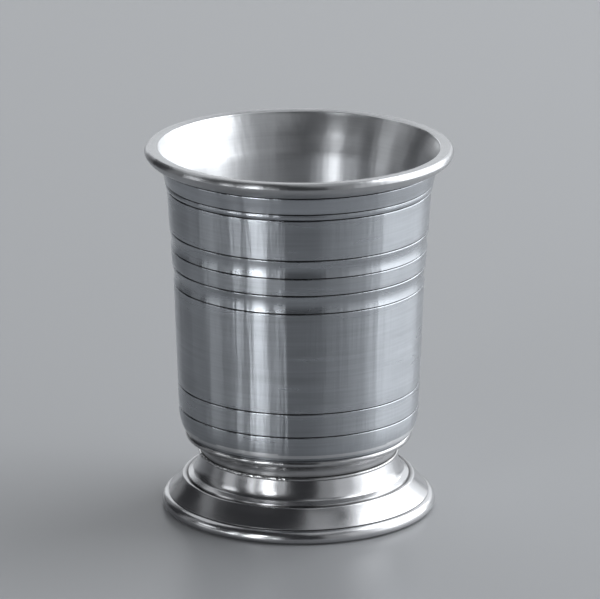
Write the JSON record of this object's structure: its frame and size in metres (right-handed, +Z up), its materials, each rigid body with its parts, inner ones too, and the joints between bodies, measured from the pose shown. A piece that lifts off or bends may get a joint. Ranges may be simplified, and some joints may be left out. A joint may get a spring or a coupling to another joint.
{
  "type": "footed julep cup",
  "caption": "Footed julep cup with a flared round lip, turned lines and shallow coves round its tapered wall, and a hollow stepped foot.",
  "frame": {"origin": "middle of the foot wire's lower face, on the table", "axes": "+Z up along the cup's own axis; the cup is round, so +X and +Y are free"},
  "size_m": [0.088, 0.088, 0.1064],
  "materials": {
    "satin_pewter": "satin, with fine turning lines round the axis",
    "polished_pewter": "polished, with small scratches",
    "solder": "bright and lumpy"
  },
  "bodies": {
    "root": {"lip_ring": "satin_pewter", "cup_body": "satin_pewter", "collar": "satin_pewter", "solder_seam": "solder", "foot": "polished_pewter", "foot_wire": "polished_pewter"}
  },
  "joints": []
}
